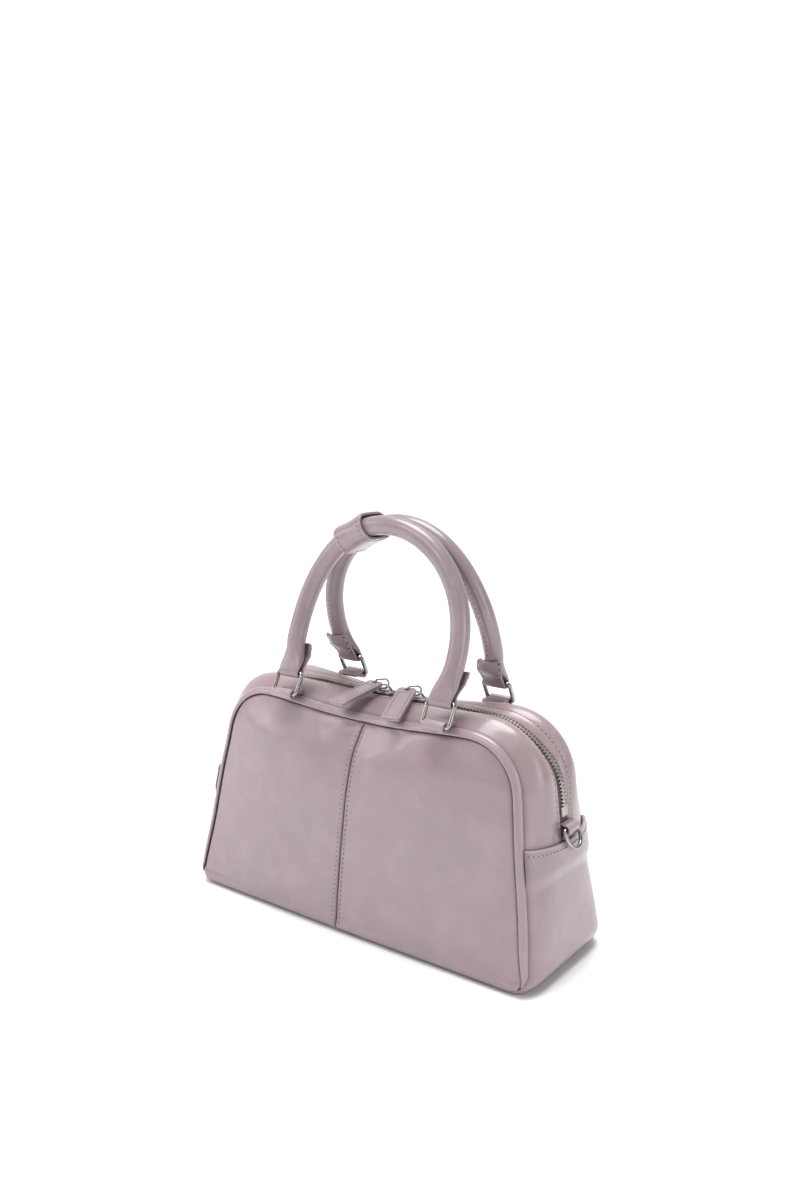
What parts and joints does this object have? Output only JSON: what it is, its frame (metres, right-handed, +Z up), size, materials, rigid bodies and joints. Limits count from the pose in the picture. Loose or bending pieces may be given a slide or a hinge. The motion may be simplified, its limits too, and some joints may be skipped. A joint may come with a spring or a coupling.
{
  "type": "boston bag",
  "caption": "Small rounded trapezoid zip-top handbag in glossy leather with piped seams, rolled handles joined by a keeper band and metal strap rings at its ends",
  "frame": {"origin": "middle of the box's underside, on the ground plane the bag stands on", "axes": "+X along the bag's length, +Y to its back, +Z up through the handles"},
  "size_m": [0.2848, 0.1024, 0.274],
  "materials": {
    "leather": "glossy waxed",
    "trim_leather": "glossy waxed",
    "zip_tape": "woven",
    "metal": "polished nickel plate"
  },
  "bodies": {
    "bag": {"front_panel_left": "leather", "front_panel_right": "leather", "back_panel": "leather", "lower_band": "leather", "front_piping": "leather", "upper_band_front": "leather", "zip_tape_front": "zip_tape", "front_handle": "leather", "front_ring_left": "metal", "front_chape_left": "trim_leather", "front_ring_right": "metal", "front_chape_right": "trim_leather", "back_piping": "leather", "upper_band_back": "leather", "zip_tape_back": "zip_tape", "back_handle": "leather", "back_ring_left": "metal", "back_chape_left": "trim_leather", "back_ring_right": "metal", "back_chape_right": "trim_leather", "zip_chain": "metal", "zip_slider_left": "metal", "pull_link_left": "metal", "pull_tab_left": "trim_leather", "d_ring_tab_left": "trim_leather", "zip_slider_right": "metal", "pull_link_right": "metal", "pull_tab_right": "trim_leather", "d_ring_tab_right": "trim_leather", "keeper_band": "leather"},
    "ring_left": {"d_ring_left": "metal"},
    "ring_right": {"d_ring_right": "metal"}
  },
  "joints": [
    {"name": "d_ring_right_hinge", "type": "hinge", "parent": "bag", "child": "ring_right", "pos_m": [0.13585, 0, 0.0942], "axis": [0, -1, 0], "range_deg": [0, 140]},
    {"name": "d_ring_left_hinge", "type": "hinge", "parent": "bag", "child": "ring_left", "pos_m": [-0.13585, 0, 0.0942], "axis": [0, 1, 0], "range_deg": [0, 140]}
  ]
}
